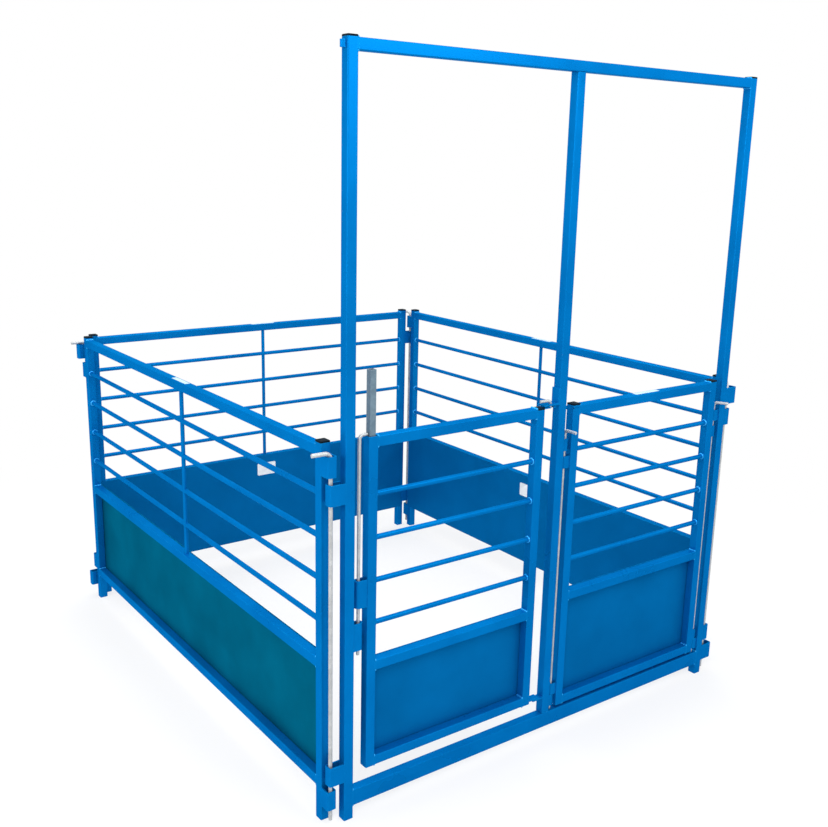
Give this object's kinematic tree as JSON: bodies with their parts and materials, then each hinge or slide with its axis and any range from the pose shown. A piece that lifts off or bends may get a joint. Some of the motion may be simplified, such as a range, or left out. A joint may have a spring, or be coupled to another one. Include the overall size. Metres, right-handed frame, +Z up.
{
  "type": "livestock handling pen",
  "caption": "Free-standing rectangular stock pen of sheeted rail panels pinned at the corners, with a tall goal-post front frame that holds a swinging gate and a pinned leaf.",
  "frame": {"origin": "on the floor, under the middle of the pen's box", "axes": "+Z up, the goal-post front frame faces -Y, the gate is towards -X"},
  "size_m": [1.714, 1.9838, 2.1],
  "materials": {
    "blue_paint": "glossy blue paint on steel tube and sheet",
    "galvanised": "dull zinc-coated steel",
    "black_plastic": "moulded black plastic"
  },
  "bodies": {
    "pen": {"back_panel_bar_grid": "blue_paint", "back_panel_bottom_rail": "blue_paint", "back_panel_cap_left": "black_plastic", "back_panel_cap_right": "black_plastic", "back_panel_post_left": "blue_paint", "back_panel_post_right": "blue_paint", "back_panel_sheet": "blue_paint", "back_panel_top_rail": "blue_paint", "front_cap_left": "black_plastic", "front_cap_right": "black_plastic", "front_post_left": "blue_paint", "front_post_middle": "blue_paint", "front_post_right": "blue_paint", "front_sill": "blue_paint", "front_top_rail": "blue_paint", "leaf_bar_1": "blue_paint", "leaf_bar_2": "blue_paint", "leaf_bar_3": "blue_paint", "leaf_bar_4": "blue_paint", "leaf_bottom_rail": "blue_paint", "leaf_sheet": "blue_paint", "leaf_sheet_rail": "blue_paint", "leaf_stile_left": "blue_paint", "leaf_stile_right": "blue_paint", "leaf_top_rail": "blue_paint", "left_panel_bar_grid": "blue_paint", "left_panel_bottom_rail": "blue_paint", "left_panel_cap_back": "black_plastic", "left_panel_cap_front": "black_plastic", "left_panel_post_back": "blue_paint", "left_panel_post_front": "blue_paint", "left_panel_sheet": "blue_paint", "left_panel_top_rail": "blue_paint", "right_panel_bar_grid": "blue_paint", "right_panel_bottom_rail": "blue_paint", "right_panel_cap_back": "black_plastic", "right_panel_cap_front": "black_plastic", "right_panel_post_back": "blue_paint", "right_panel_post_front": "blue_paint", "right_panel_sheet": "blue_paint", "right_panel_top_rail": "blue_paint"},
    "gate": {"gate_bar_1": "blue_paint", "gate_bar_2": "blue_paint", "gate_bar_3": "blue_paint", "gate_bar_4": "blue_paint", "gate_bottom_rail": "blue_paint", "gate_hinge_stile": "blue_paint", "gate_latch_stile": "blue_paint", "gate_sheet": "blue_paint", "gate_sheet_rail": "blue_paint", "gate_top_rail": "blue_paint"},
    "corner_rod_back_left": {"corner_rod_back_left": "galvanised"},
    "corner_rod_back_right": {"corner_rod_back_right": "galvanised"},
    "corner_rod_front_left": {"corner_rod_front_left": "galvanised"},
    "corner_rod_front_right": {"corner_rod_front_right": "galvanised"},
    "gate_hinge_rod": {"gate_hinge_rod": "galvanised"},
    "gate_latch_pin": {"gate_latch_pin": "galvanised"},
    "leaf_rod_left": {"leaf_rod_left": "galvanised"},
    "leaf_rod_right": {"leaf_rod_right": "galvanised"},
    "socket_post": {"socket_post": "galvanised"}
  },
  "joints": [
    {"name": "gate_swing", "type": "hinge", "parent": "pen", "child": "gate", "pos_m": [-0.71273, -0.94509, 0.6], "axis": [0, 0, 1], "range_deg": [0, 90]},
    {"name": "gate_hinge_rod_lift", "type": "slide", "parent": "gate", "child": "gate_hinge_rod", "axis": [0, 0, 1], "range_m": [0, 0.6]},
    {"name": "socket_post_lift", "type": "slide", "parent": "gate", "child": "socket_post", "axis": [0, 0, 1], "range_m": [0, 0.75]},
    {"name": "gate_latch_pin_lift", "type": "slide", "parent": "pen", "child": "gate_latch_pin", "axis": [0, 0, 1], "range_m": [0, 0.05]},
    {"name": "corner_rod_front_left_lift", "type": "slide", "parent": "pen", "child": "corner_rod_front_left", "axis": [0, 0, 1], "range_m": [0, 1.04]},
    {"name": "corner_rod_front_right_lift", "type": "slide", "parent": "pen", "child": "corner_rod_front_right", "axis": [0, 0, 1], "range_m": [0, 1.04]},
    {"name": "corner_rod_back_left_lift", "type": "slide", "parent": "pen", "child": "corner_rod_back_left", "axis": [0, 0, 1], "range_m": [0, 1.04]},
    {"name": "corner_rod_back_right_lift", "type": "slide", "parent": "pen", "child": "corner_rod_back_right", "axis": [0, 0, 1], "range_m": [0, 1.04]},
    {"name": "leaf_rod_left_lift", "type": "slide", "parent": "pen", "child": "leaf_rod_left", "axis": [0, 0, 1], "range_m": [0, 0.9]},
    {"name": "leaf_rod_right_lift", "type": "slide", "parent": "pen", "child": "leaf_rod_right", "axis": [0, 0, 1], "range_m": [0, 0.9]}
  ]
}
